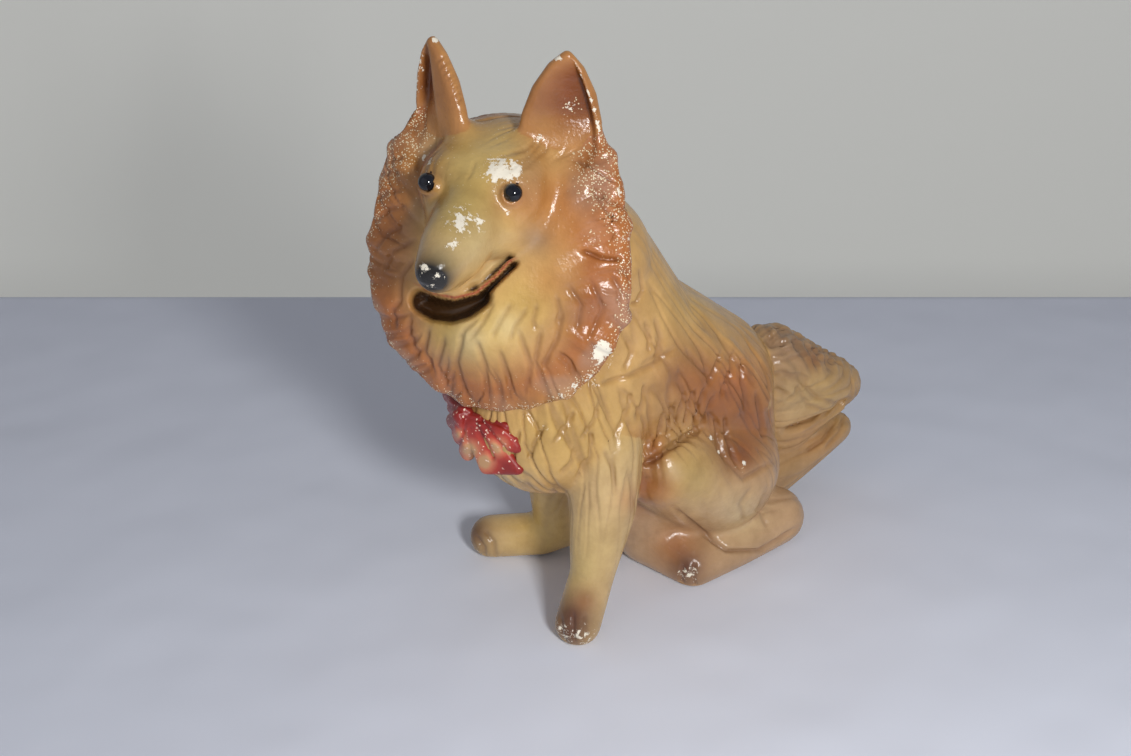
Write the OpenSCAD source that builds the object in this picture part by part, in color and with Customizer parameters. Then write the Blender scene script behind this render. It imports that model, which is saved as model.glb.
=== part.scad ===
// Seated long-haired dog: a hollow painted plaster figure with glass eyes.
// The dog faces -Y and turns its head towards its left, which is +X. The table is z = 0.
// Every mass of the body is a chain of balls, each [x, y, z, radius], rounded together.

/* [Trunk] */
// Height of the middle of the chest above the table
chest_z = 106; // [100:1:112]
// How far the middle of the chest lies in front of the origin
chest_y = 53; // [49:1:57]
// Radius of the chest
chest_r = 43; // [40:1:46]
// How far the shoulders lie in front of the origin
shoulder_y = 17; // [14:1:20]
// Height of the middle of the shoulders
shoulder_z = 120; // [115:1:125]
// Radius of the shoulders
shoulder_r = 45; // [42:1:48]
// Height of the middle of the loin
loin_z = 84; // [79:1:89]
// How far the loin and seat lie behind the origin
loin_y = 35; // [31:1:39]
// Radius of the loin
loin_r = 42; // [39:1:45]
// Radius of the seat, which rests on the table
seat_r = 41; // [38:1:44]
// How far the neck lies in front of the origin
neck_y = 41; // [38:1:44]
// Height of the neck, where the head is seated
neck_z = 176; // [171:1:181]
// Radius of the neck
neck_r = 32; // [29:1:35]
// Narrowness of the trunk, across against along
trunk_narrow = 0.92; // [0.86:0.01:0.98]
// Thickness of the plaster wall round the hollow
wall = 8; // [6:0.5:10]
// Radius of the pour hole under the seat
pour_hole_r = 16; // [12:1:20]

/* [Coat] */
// Number of main locks down each side of the trunk
coat_locks = 7; // [5:1:8]
// Space between two main locks
coat_gap = 17; // [15:1:19]
// Length of a main lock, down the side
coat_l = 34; // [30:1:38]
// Radius of a main lock
coat_r = 5; // [4:0.5:6]
// How far a main lock stands out from the trunk
coat_rise = 2; // [1:0.25:2.5]

/* [Head] */
// Height of the middle of the eye line above the table
eye_z = 227; // [222:1:232]
// How far the eye line lies in front of the origin
eye_y = 106; // [102:1:110]
// How far the eye line lies to the dog's left of the origin
eye_x = 16; // [12:1:20]
// Angle of the head's turn to the dog's left
head_turn = 33; // [26:1:38]
// Angle by which the muzzle points down
head_droop = 25; // [20:1:30]
// Radius of the skull
skull_r = 28; // [26:0.5:30]
// Length of the muzzle, from the eye line to the nose
muzzle_l = 48; // [44:1:52]
// Radius of the nose end of the muzzle
nose_r = 9.5; // [8.5:0.5:10.5]
// Radius of the muzzle halfway along
muzzle_r = 13.5; // [12.5:0.5:14.5]
// Sideways place of a brow
brow_x = 11; // [9:0.5:12]
// Radius of a brow
brow_r = 17; // [16:0.5:18]
// Radius of the cheeks
cheek_r = 17; // [15:0.5:19]
// Depth of the line of the mouth
mouth_d = 2; // [1:0.5:3]

/* [Eyes] */
// Distance between the middles of the eyes
eye_gap = 37; // [34:0.5:40]
// Radius of a glass eye
eye_r = 3.75; // [3:0.25:4.5]
// How far the middle of an eye lies behind the eye line
eye_sink = 1.5; // [1:0.25:2]
// Length of the wire loop behind an eye
eye_wire_l = 6; // [4:0.5:8]

/* [Ruff] */
// Half width of the ruff round the face
ruff_w = 61; // [57:1:65]
// How much further the rim reaches where it meets the ears
ruff_rise = 33; // [28:1:38]
// Angle by which the ruff leans forward at its foot
ruff_tilt = 12; // [8:1:16]
// Height of the middle of the ruff above the table
ruff_z = 186; // [182:1:190]
// Radius of the tip of one lock at the rim
lock_r = 5; // [4:0.5:6]
// Number of locks round the rim
locks = 19; // [15:2:23]
// How far the ruff bulges forward of its rim below the chin
ruff_bulge = 16; // [12:1:20]

/* [Ears] */
// Height of an ear above its foot
ear_h = 41; // [37:1:45]
// Height of the ears' feet above the middle of the ruff
ear_foot_z = 51; // [48:1:54]
// How far the ears stand behind the middle of the ruff
ear_back = 14; // [11:1:17]
// Half width of an ear at its foot
ear_w = 17; // [15:0.5:19]
// Thickness of an ear's edge
ear_t = 5; // [4:0.5:6]
// Distance between the middles of the ears
ear_gap = 51; // [47:1:55]
// How far the ears lean outwards
ear_lean = 5; // [0:1:10]

/* [Forelegs] */
// How far the upright left forepaw lies in front of the origin
paw_y = 62; // [58:1:66]
// Sideways place of the left forepaw
paw_x = 37; // [34:1:40]
// Half width of a forepaw
paw_r = 11; // [10:0.5:12]
// Height of the thinnest part of the left foreleg
pastern_z = 30; // [26:1:34]
// Radius of the left foreleg at its thinnest
foreleg_r = 10.5; // [9.5:0.5:12]
// Height of the left elbow
elbow_z = 62; // [58:1:66]
// How far the left elbow lies behind the middle of the paw
elbow_back = 19; // [15:1:23]
// Radius of the left elbow
elbow_r = 15.5; // [14:0.5:17]
// Sideways place of the right forepaw, which lies splayed on the table
splay_x = 46; // [42:1:50]
// How far the right forepaw lies in front of the origin
splay_y = 56; // [52:1:60]
// How far the right elbow lies inwards of its paw
splay_in = 22; // [18:1:26]
// How far the right elbow lies behind its paw
splay_back = 28; // [24:1:32]
// Radius of the splayed right foreleg
splay_r = 11; // [10:0.5:12]

/* [Haunches] */
// Radius of a haunch
haunch_r = 37; // [34:1:39]
// Sideways place of the middle of a haunch
haunch_x = 13; // [10:1:16]
// Height of a knee
knee_z = 72; // [68:1:76]
// How far a knee lies in front of the origin
knee_y = 13; // [9:1:17]
// Radius of a knee
knee_r = 20; // [18:1:22]
// Sideways place of a hind foot
hind_foot_x = 35; // [32:1:38]
// Half width of a hind foot
hind_paw_r = 11; // [10:0.5:12]
// How far a hind paw's toes lie behind the origin
hind_paw_y = 8; // [5:1:12]
// Length of a hind foot from its toes to its hock
hind_foot_l = 58; // [54:1:62]

/* [Tail] */
// How far the curl of the tail reaches behind the origin
tail_reach = 146; // [140:1:150]
// Height of the top of the tail
tail_top = 108; // [102:1:112]
// Sideways place of the tail
tail_x = 8; // [5:1:11]
// Radius of the tail's plume
plume_r = 18; // [16:1:20]
// Radius of the tail's shaft
shaft_r = 13; // [11:1:15]
// Width of the slot between the plume and the shaft
slot_h = 4; // [3:0.5:6]

/* [Bow] */
// Height of the knot of the bow above the table
bow_z = 111; // [107:1:115]
// How far the knot lies to the dog's right of the origin
bow_x = 4; // [0:1:8]
// Length of one loop of the bow
bow_loop_l = 24; // [20:1:28]
// Width of one loop of the bow at its end
bow_loop_w = 14; // [11:1:17]
// Length of one tail of the bow
bow_tail_l = 24; // [20:1:28]
// Width of one tail of the bow at its end
bow_tail_w = 11; // [8:1:14]
// Thickness of the ribbon
ribbon_t = 5; // [4:0.5:6]

/* [Joints] */
// Plaster joint left between two castings
joint_gap = 0.3; // [0.2:0.05:0.4]
// Clearance round a wire and round a glass eye
wire_gap = 0.15; // [0.1:0.05:0.2]
// Radius of the wire in a leg or in the tail
leg_wire_r = 2; // [1.5:0.25:2.5]
// Radius of the wire in an ear
ear_wire_r = 1; // [0.75:0.25:1.25]
// Length of the wire in an ear, half of it below the foot
ear_wire_l = 24; // [20:1:28]
// Height of the neck's flat seat above the middle of the neck
seat_up = 12; // [9:1:15]
// Radius of the tenon that stands on the neck's seat
tenon_r = 17; // [14:1:20]
// Height of the tenon
tenon_h = 10; // [8:1:12]

/* [Hidden] */
big_fn = 28;
small_fn = 14;
hollow_fn = 18;
wire_fn = 24;
// Half the span of a cube that takes in the whole figure
reach = 400;
head_seat_z = neck_z + seat_up;

// Sizes of the trunk's balls, from which the seats of the other castings follow
chest = [0, -chest_y, chest_z, chest_r];
shoulders = [0, -shoulder_y, shoulder_z, shoulder_r];
breast = [3, -chest_y + 7, chest_z + 34, chest_r - 6];
loin = [0, loin_y, loin_z, loin_r];
seat = [0, loin_y + 7, seat_r - 8, seat_r];
groin = [4, loin_y - 27, 14, 19];
neck = [6, -neck_y, neck_z, neck_r];
face = [eye_x, -eye_y, eye_z];

// Skull and eyes, in the frame of the face: x to the dog's left, -y along the muzzle
skull = [0, skull_r + 5, -skull_r + 6, skull_r];

function cheek(side) = [side * 13, 14, -26, cheek_r];
function brow(side) = [side * brow_x, brow_r - 5, 5 - brow_r, brow_r];

module ball(b, grow, fn) {
    translate([b[0], b[1], b[2]])
        sphere(r = b[3] + grow, $fn = fn);
}

// Balls rounded together one to the next
module chain(balls, grow = 0, fn = big_fn) {
    for (i = [0 : len(balls) - 2])
        hull() {
            ball(balls[i], grow, fn);
            ball(balls[i + 1], grow, fn);
        }
}

// Balls rounded together in one mass
module mass(balls, grow = 0, fn = big_fn) {
    hull()
        for (b = balls)
            ball(b, grow, fn);
}

// Moves what is drawn round the eye line to the head's place and turn
module at_face() {
    translate(face)
        rotate([0, 0, head_turn])
            rotate([head_droop, 0, 0])
                children();
}

// The same turn without the droop, round the middle of the ruff
module at_collar() {
    translate([eye_x - 6, -eye_y + 19, ruff_z])
        rotate([0, 0, head_turn])
            children();
}

module at_ruff() {
    at_collar()
        rotate([-ruff_tilt, 0, 0])
            children();
}

module trunk_form(grow, fn) {
    scale([trunk_narrow, 1, 1]) {
        mass([seat, loin, groin], grow, fn);
        mass([loin, shoulders, groin], grow, fn);
        mass([shoulders, chest, breast], grow, fn);
        mass([shoulders, breast, neck], grow, fn);
    }
}

// How far a point [y, z] of the trunk's side lies from the line between two of its masses
function off_line(p, a, b) =
    let (u = [a[1], a[2]], v = [b[1] - a[1], b[2] - a[2]])
    norm(p - u - v * max(0, min(1, (p - u) * v / (v * v))));

// Where the trunk's side lies at a point [y, z]
function trunk_side(p) =
    let (off = min(
        off_line(p, chest, shoulders),
        off_line(p, shoulders, loin),
        off_line(p, chest, breast),
        off_line(p, breast, shoulders)
    ))
    trunk_narrow * sqrt(max(1, chest_r * chest_r - off * off));

function lock_ball(side, p, share) =
    [side * (trunk_side(p) - coat_r + coat_rise * share), p[0], p[1], coat_r];

// Main locks hang down the chest, and sweep back further towards the flank
module coat_side(side, grow) {
    for (i = [0 : coat_locks - 1]) {
        top = [i * coat_gap - chest_y - 21, chest_z + 24 - max(0, i - 4) * 5];
        sweep = [coat_l * (i / 8 - 0.1), -coat_l];
        chain([
            lock_ball(side, top, 0.5),
            lock_ball(side, top + sweep / 2, 1),
            lock_ball(side, top + sweep, 0.8)
        ], grow, small_fn);
    }
}

function haunch(side) = [side * haunch_x, loin_y - 1, haunch_r + 11, haunch_r];
function knee(side) = [side * (haunch_x + knee_r - 1), -knee_y, knee_z, knee_r];

// A hind foot rests flat on the table, with the lap's low web between the two
function hind_toes(side) = [side * hind_foot_x, hind_paw_y, hind_paw_r - 3, hind_paw_r];
function instep(side) = hind_toes(side) + [side * 2, hind_foot_l / 2, 2, 0];
function hock(side) = hind_toes(side) + [-side * 2, hind_foot_l, 5, 4];
function lap(side) = [side * (hind_foot_x - 5), hind_paw_y + 14, hind_paw_r - 5, hind_paw_r - 2];

module hind_leg_form(side, grow) {
    mass([haunch(side), knee(side)], grow);
    chain([hock(side), instep(side), hind_toes(side)], grow, small_fn * 2);
}

// Keeps what lies between two heights
module between(low, high) {
    intersection() {
        children();
        translate([-reach, -reach, low])
            cube([2 * reach, 2 * reach, high - low]);
    }
}

// The trunk and hind legs end above in a flat seat with a tenon, which carry the head
module torso_form(grow = 0) {
    between(0, head_seat_z + grow) {
        trunk_form(grow, big_fn);
        mass([lap(1), lap(-1), groin], grow);
        for (side = [1, -1]) {
            hind_leg_form(side, grow);
            coat_side(side, grow);
        }
    }
    translate([neck[0], neck[1], neck_z])
        cylinder(r = tenon_r + grow, h = seat_up + tenon_h + grow, $fn = wire_fn);
}

module torso_hollow() {
    between(wall, head_seat_z - wall)
        trunk_form(-wall, hollow_fn);
}

module torso_casting() {
    color("#C9A46A")
        difference() {
            torso_form();
            torso_hollow();
            pour_hole();
            bow_form(joint_gap);
            for (side = [1, -1])
                foreleg_wire_form(side, wire_gap);
            tail_wire_form(wire_gap);
        }
}

module pour_hole() {
    translate([seat[0], seat[1], -1])
        cylinder(r = pour_hole_r, h = wall + 2, $fn = big_fn * 2);
}

module base_plug() {
    color("#E4DCCB")
        translate([seat[0], seat[1], 0.5])
            cylinder(r = pour_hole_r - joint_gap, h = wall - 1, $fn = big_fn * 2);
}

// Skull, brows, cheeks and muzzle
module face_form(grow = 0) {
    mass([skull, brow(1), brow(-1)], grow);
    for (side = [1, -1])
        mass([
            skull,
            cheek(side),
            [side * 4, -4, -16, 14]
        ], grow);
    mass([
        [0, 2, -13, 16],
        [0, -muzzle_l / 2, -9, muzzle_r],
        [0, nose_r - muzzle_l, -5, nose_r]
    ], grow);
    mass([
        [0, 4, -24, 12],
        [0, nose_r - muzzle_l + 5, -14, nose_r - 2.5]
    ], grow);
}

// The rim is round, and rises to the ears
function rim_angle(i) = -232 + 284 * i / (locks - 1);
function rim_r(a) = ruff_w - lock_r + ruff_rise * pow(max(0, sin(a)), 3);
function rim_point(a, share) = [
    -3 + share * rim_r(a) * cos(a),
    share * share * 4,
    -5 + share * rim_r(a) * sin(a)
];

// The ruff: a bulging core with a ring of locks that makes its scalloped rim
module ruff_form(grow = 0) {
    throat = [-3, -ruff_bulge + 16, -22];
    hull() {
        translate(throat)
            sphere(r = 22 + grow, $fn = big_fn);
        for (i = [0 : locks - 1])
            translate(rim_point(rim_angle(i), 0.95))
                sphere(r = lock_r + 0.5 + grow, $fn = small_fn);
    }
    for (i = [0 : locks - 1])
        hull() {
            translate(rim_point(rim_angle(i), 0.55) + [0, -ruff_bulge * 0.35, 0])
                sphere(r = 7.5 + grow, $fn = small_fn);
            translate(rim_point(rim_angle(i), 1))
                sphere(r = lock_r + grow, $fn = small_fn);
        }
}

// The foot of each ear flares into the cheek
module ear_root(side, grow) {
    hull() {
        at_ear(side)
            for (x = [-1, 1])
                translate([x * (ear_w - ear_t - 1), ear_t / 2, -2])
                    sphere(r = ear_t + grow, $fn = small_fn);
        at_face()
            ball(cheek(side), grow, big_fn);
    }
}

// Nape, from the back of the skull down to the neck
module nape_form(grow, fn) {
    hull() {
        at_face()
            ball(skull, grow, fn);
        ball(neck, grow, fn);
    }
}

module mouth_line() {
    for (side = [1, -1])
        hull() {
            translate([side * 15, -2, -21])
                sphere(r = mouth_d, $fn = small_fn);
            translate([side * 5, nose_r - muzzle_l, -14])
                sphere(r = mouth_d, $fn = small_fn);
        }
}

module head_form(grow = 0) {
    at_face()
        face_form(grow);
    at_ruff()
        ruff_form(grow);
    nape_form(grow, big_fn);
    for (side = [1, -1])
        ear_root(side, grow);
}

// The hollow of the head opens into the socket over the tenon
module head_hollow() {
    between(head_seat_z + tenon_h - 2, reach)
        nape_form(-wall, hollow_fn);
}

module head_casting() {
    color("#C8995A")
        difference() {
            head_form();
            head_hollow();
            torso_form(joint_gap);
            bow_form(joint_gap);
            at_face() {
                mouth_line();
                for (side = [1, -1]) {
                    eye_form(side, wire_gap);
                    eye_wire_form(side, wire_gap);
                }
            }
            for (side = [1, -1])
                ear_wire_form(side, wire_gap);
        }
}

// An ear drawn upright at its foot, open to the front
module ear_blank() {
    foot_t = ear_t + 5;
    difference() {
        hull() {
            for (x = [-1, 1])
                translate([x * (ear_w - ear_t / 2), 0, 0])
                    sphere(r = ear_t / 2 + 1, $fn = small_fn);
            translate([0, foot_t / 2, 0])
                sphere(r = foot_t / 2, $fn = small_fn);
            translate([0, 2, ear_h * 0.55])
                scale([(ear_w - 3) / ear_t, 1, 1])
                    sphere(r = ear_t, $fn = small_fn);
            translate([0, 1, ear_h - ear_t / 2])
                sphere(r = ear_t / 2, $fn = small_fn);
        }
        hull() {
            translate([0, -ear_t / 2 - 2, ear_h * 0.2])
                sphere(r = ear_w * 0.42, $fn = small_fn);
            translate([0, -ear_t / 2 - 0.5, ear_h * 0.72])
                sphere(r = ear_t / 2, $fn = small_fn);
        }
    }
}

module at_ear(side) {
    at_collar()
        translate([side * ear_gap / 2 - 4, ear_back, ear_foot_z])
            rotate([4, side * ear_lean, side * 12])
                children();
}

module ear(side) {
    difference() {
        at_ear(side)
            ear_blank();
        head_form(joint_gap);
        ear_wire_form(side, wire_gap);
    }
}

module left_ear() {
    color("#B9834A")
        ear(1);
}

module right_ear() {
    color("#B9834A")
        ear(-1);
}

module eye_form(side, grow) {
    translate([side * eye_gap / 2, eye_sink, 0])
        sphere(r = eye_r + grow, $fn = wire_fn * 2);
}

module eye_wire_form(side, grow) {
    translate([side * eye_gap / 2, eye_sink + eye_r, 0])
        rotate([-90, 0, 0])
            cylinder(r = 0.8 + grow, h = eye_wire_l, $fn = wire_fn);
}

module left_eye() {
    color("#15151A")
        at_face()
            eye_form(1, 0);
}

module right_eye() {
    color("#15151A")
        at_face()
            eye_form(-1, 0);
}

module left_eye_wire() {
    color("#6B6660")
        at_face()
            eye_wire_form(1, 0);
}

module right_eye_wire() {
    color("#6B6660")
        at_face()
            eye_wire_form(-1, 0);
}

// The upright left foreleg, from the paw up into the chest
left_paw = [paw_x, -paw_y - 4, paw_r - 3, paw_r];
left_pastern = [paw_x - 3, left_paw[1] + elbow_back * 0.6, pastern_z, foreleg_r];
left_elbow = [paw_x - 6, left_paw[1] + elbow_back, elbow_z, elbow_r];
left_arm = [paw_x - 10, left_elbow[1] + 3, chest_z - 14, elbow_r + 3];

// The splayed right foreleg, along the table and then up into the chest
right_paw = [-splay_x, -splay_y, splay_r - 2, splay_r];
right_wrist = [splay_in * 0.72 - splay_x, splay_back * 0.72 - splay_y, splay_r, splay_r];
right_elbow = [splay_in - splay_x, splay_back - splay_y, splay_r + 8, splay_r + 3];
right_arm = [right_elbow[0], right_elbow[1] - 2, chest_z - chest_r, splay_r + 7];

module foreleg_form(side) {
    between(0, reach) {
        if (side > 0)
            chain([left_paw, left_pastern, left_elbow, left_arm]);
        else
            chain([right_paw, right_wrist, right_elbow, right_arm]);
    }
}

module foreleg(side) {
    difference() {
        foreleg_form(side);
        torso_form(joint_gap);
        foreleg_wire_form(side, wire_gap);
    }
}

module left_foreleg() {
    color("#C3A860")
        foreleg(1);
}

module right_foreleg() {
    color("#C3A860")
        foreleg(-1);
}

// A straight wire between two points
module wire(from, to, r) {
    step = to - from;
    length = norm(step);
    translate(from)
        rotate([0, acos(step[2] / length), atan2(step[1], step[0])])
            cylinder(r = r, h = length, $fn = wire_fn);
}

function middle(b) = [b[0], b[1], b[2]];

module foreleg_wire_form(side, grow) {
    if (side > 0)
        wire(middle(left_paw) + [-1, 5, 4], middle(left_arm) - [-1, 0, 10], leg_wire_r + grow);
    else
        wire(middle(right_elbow) - [0, 2, 7], middle(right_arm) + [0, -3, 17], leg_wire_r + grow);
}

module left_foreleg_wire() {
    color("#6B6660")
        foreleg_wire_form(1, 0);
}

module right_foreleg_wire() {
    color("#6B6660")
        foreleg_wire_form(-1, 0);
}

// The tail: a shaft that runs back low, with the plume curled up over it
tail_root_y = loin_y + seat_r + 3;
slot_z = shaft_r * 3 + 1;
shaft_root = [tail_x - 2, tail_root_y, shaft_r + 7, shaft_r + 4];
shaft_middle = [tail_x, tail_reach - 34, shaft_r * 2, shaft_r - 1];
shaft_end = [tail_x, tail_reach - 10, shaft_r + 17, shaft_r - 4];
plume_root = [tail_x - 2, tail_root_y + 3, tail_top - plume_r - 1, plume_r];
plume_middle = [tail_x, tail_reach - 38, tail_top - plume_r - 24, plume_r];
plume_end = [tail_x, tail_reach - shaft_r - 1, slot_z + plume_r, shaft_r + 1];
plume_web = [tail_x - 1, tail_root_y + 14, slot_z + 3, shaft_r];

module tail_form() {
    difference() {
        between(0, reach) {
            chain([shaft_root, shaft_middle, shaft_end]);
            mass([plume_root, plume_middle, plume_end, plume_web]);
        }
        hull()
            for (y = [tail_reach + 4, tail_reach - 46])
                translate([tail_x + 4, y, slot_z])
                    rotate([0, 90, 0])
                        cylinder(r = slot_h / 2, h = plume_r * 2, $fn = small_fn);
    }
}

module tail_casting() {
    color("#C69F68")
        difference() {
            tail_form();
            torso_form(joint_gap);
            tail_wire_form(wire_gap);
        }
}

// The tail's wire starts in the hollow of the seat
module tail_wire_form(grow) {
    wire(
        [tail_x - 3, seat[1] + seat_r - wall - 6, shaft_root[2] + 2],
        [tail_x, tail_reach - 20, shaft_middle[2]],
        leg_wire_r + grow
    );
}

module tail_wire() {
    color("#6B6660")
        tail_wire_form(0);
}

module ear_wire_form(side, grow) {
    at_ear(side)
        translate([0, ear_t + 0.5, -ear_wire_l / 2])
            cylinder(r = ear_wire_r + grow, h = ear_wire_l, $fn = wire_fn);
}

module left_ear_wire() {
    color("#6B6660")
        ear_wire_form(1, 0);
}

module right_ear_wire() {
    color("#6B6660")
        ear_wire_form(-1, 0);
}

// The bow on the chest: a knot, two loops and two tails, let into the chest and the ruff
module bow_form(grow) {
    t = ribbon_t / 2;
    translate([-bow_x, -chest_y - chest_r, bow_z]) {
        sphere(r = ribbon_t + grow, $fn = big_fn);
        for (side = [1, -1]) {
            mass([
                [side * 4, 0, 0, t],
                [side * bow_loop_l, 6, bow_loop_w * 0.6, t],
                [side * bow_loop_l, 5, -bow_loop_w * 0.4, t]
            ], grow, small_fn);
            mass([
                [side * 2, 0, -2, t],
                [side * 5, 5, -bow_tail_l, t],
                [side * (5 + bow_tail_w), 6, 4 - bow_tail_l, t]
            ], grow, small_fn);
        }
    }
}

module bow() {
    color("#C8402F")
        bow_form(0);
}

torso_casting();
head_casting();
left_ear();
right_ear();
left_foreleg();
right_foreleg();
tail_casting();
bow();
left_eye();
right_eye();
left_eye_wire();
right_eye_wire();
left_ear_wire();
right_ear_wire();
left_foreleg_wire();
right_foreleg_wire();
tail_wire();
base_plug();
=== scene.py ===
# Seated long-haired dog in painted plaster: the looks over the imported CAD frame.
# The coat is sculpted in mm as one skin and then cut into one closed piece for each casting.
import math
import bpy
import bmesh
import numpy as np
from mathutils import Matrix, Vector
from mathutils.bvhtree import BVHTree
from mathutils.kdtree import KDTree


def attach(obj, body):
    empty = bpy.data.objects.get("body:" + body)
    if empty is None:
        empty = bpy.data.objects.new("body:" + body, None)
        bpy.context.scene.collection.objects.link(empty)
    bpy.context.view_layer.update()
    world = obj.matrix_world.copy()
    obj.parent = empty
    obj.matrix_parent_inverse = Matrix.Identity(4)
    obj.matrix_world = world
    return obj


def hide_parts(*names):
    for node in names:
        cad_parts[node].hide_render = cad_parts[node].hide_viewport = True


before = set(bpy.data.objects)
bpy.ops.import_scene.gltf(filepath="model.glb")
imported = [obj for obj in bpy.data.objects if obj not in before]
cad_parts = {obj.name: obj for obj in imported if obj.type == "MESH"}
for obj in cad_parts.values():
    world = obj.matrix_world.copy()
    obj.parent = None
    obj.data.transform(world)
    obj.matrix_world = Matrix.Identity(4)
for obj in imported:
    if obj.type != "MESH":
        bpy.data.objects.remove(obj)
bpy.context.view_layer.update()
MM = 0.001

# Camera: stands where the photograph was taken from, looking down on the figure.
# Places are in mm, and the focal length in pixels of the photograph.
photo_w, photo_h, focal_px = 1131, 756, 1600
sensor_mm = 36
camera_at = Vector((511.8, -444.3, 460.5))
camera_pitch = math.radians(28)
camera_right = Vector((0.6157, 0.7880, 0)).normalized()
level_back = Vector((camera_right.y, -camera_right.x, 0))
camera_back = level_back * math.cos(camera_pitch) + Vector((0, 0, math.sin(camera_pitch)))
camera_up = camera_back.cross(camera_right)


def placed(name, data):
    """A new object in the scene, at the origin until it is moved."""
    thing = bpy.data.objects.new(name, data)
    bpy.context.scene.collection.objects.link(thing)
    return thing


camera_data = bpy.data.cameras.new("camera")
camera_data.sensor_width = sensor_mm
camera_data.lens = focal_px * sensor_mm / photo_w
camera_data.clip_end = 20
camera = placed("camera", camera_data)
camera.matrix_world = Matrix((camera_right, camera_up, camera_back)).transposed().to_4x4()
camera.location = camera_at * MM
bpy.context.scene.camera = camera
bpy.context.scene.view_settings.view_transform = "Standard"


def pixels(points):
    """Where points, in mm, fall in the photograph, and how far away they are."""
    rel = points - np.array(camera_at)
    away = -rel @ np.array(camera_back)
    across = rel @ np.array(camera_right)
    up = rel @ np.array(camera_up)
    return np.stack([photo_w / 2 + focal_px * across / away, photo_h / 2 - focal_px * up / away], 1), away


# Floor and backdrop: a plain pale floor, and a plain grey backdrop well behind its far edge.
# Neither is part of the object. A small key lamp stands near the camera, and a broad fill to its left.
def srgb(code):
    """A colour written as sRGB hex, in Blender's linear numbers."""
    parts = [int(code[i:i + 2], 16) / 255 for i in (1, 3, 5)]
    return [c / 12.92 if c < 0.04045 else ((c + 0.055) / 1.055) ** 2.4 for c in parts] + [1]


def feed(node, links):
    """Sets a shader node's inputs, or links them to another node's outputs."""
    for name, value in links:
        if isinstance(value, bpy.types.NodeSocket):
            node.id_data.links.new(value, node.inputs[name])
        else:
            node.inputs[name].default_value = value


def add(tree, kind, links=(), stops=(), **settings):
    """Adds a shader node with its settings, colour stops and inputs."""
    node = tree.nodes.new(kind)
    for name, value in settings.items():
        setattr(node, name, value)
    for _ in stops[2:]:
        node.color_ramp.elements.new(0.5)
    for i, (place, colour) in enumerate(stops):
        node.color_ramp.elements[i].position = place
        node.color_ramp.elements[i].color = colour
    feed(node, links)
    return node


def new_material(name):
    """A material with its nodes, its place in metres on the piece, and its surface."""
    material = bpy.data.materials.new(name)
    material.use_nodes = True
    tree = material.node_tree
    tree.nodes.clear()
    place = add(tree, "ShaderNodeTexCoord").outputs["Object"]
    surface = add(tree, "ShaderNodeBsdfPrincipled")
    add(tree, "ShaderNodeOutputMaterial", [("Surface", surface.outputs["BSDF"])])
    return material, tree, place, surface


table_back, backdrop_at, edge_bend = 322, 900, 20
table_front, backdrop_top, stage_half, drop = 900, 2200, 2500, 900
under_feet = 0.2
profile = [(-table_front, 0)]
for i in range(10):
    turn = math.radians(10 * i)
    profile.append((table_back - edge_bend + edge_bend * math.sin(turn), edge_bend * (math.cos(turn) - 1)))
profile += [(table_back, -drop), (backdrop_at, -drop), (backdrop_at, backdrop_top)]
stage_mesh = bmesh.new()
rows = []
for out, high in profile:
    middle = Vector((0, 0, high - under_feet)) - level_back * out
    ends = [middle + camera_right * side * stage_half for side in (-1, 1)]
    rows.append([stage_mesh.verts.new(end * MM) for end in ends])
for near, far in zip(rows, rows[1:]):
    stage_mesh.faces.new((near[0], near[1], far[1], far[0]))
bmesh.ops.recalc_face_normals(stage_mesh, faces=stage_mesh.faces[:])
mesh = bpy.data.meshes.new("floor")
stage_mesh.to_mesh(mesh)
mesh.shade_smooth()
floor = placed("floor", mesh)

material, tree, place, surface = new_material("pale_floor_and_backdrop")
backdrop_from, backdrop_to, backdrop_glow = 0.4, 0.42, 0.36
soft_wave_mm = 111
far = add(tree, "ShaderNodeVectorMath", [(0, place), (1, -level_back)], operation="DOT_PRODUCT")
behind = add(tree, "ShaderNodeMapRange", [("Value", far.outputs["Value"]), ("From Min", backdrop_from),
                                          ("From Max", backdrop_to)]).outputs["Result"]
colour = add(tree, "ShaderNodeMix", [("Factor", behind), ("A", srgb("#E6EAF5")), ("B", srgb("#D2D2CC"))],
             data_type="RGBA").outputs["Result"]
waves = add(tree, "ShaderNodeTexNoise", [("Vector", place), ("Scale", 1 / (soft_wave_mm * MM)),
                                         ("Detail", 2.0)])
bump = add(tree, "ShaderNodeBump", [("Height", waves.outputs["Fac"]), ("Strength", 0.25), ("Distance", 0.02)])
ray = add(tree, "ShaderNodeLightPath").outputs
seen = add(tree, "ShaderNodeMath", [(0, ray["Is Camera Ray"]), (1, ray["Is Glossy Ray"])], operation="ADD")
seen = add(tree, "ShaderNodeMath", [(0, seen.outputs[0]), (1, behind)], operation="MULTIPLY")
glow = add(tree, "ShaderNodeMath", [(0, seen.outputs[0]), (1, backdrop_glow)], operation="MULTIPLY")
feed(surface, [
    ("Base Color", colour), ("Roughness", 0.9), ("Normal", bump.outputs["Normal"]),
    ("Specular IOR Level", 0.1), ("Emission Color", colour), ("Emission Strength", glow.outputs[0])])
floor.data.materials.append(material)

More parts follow.
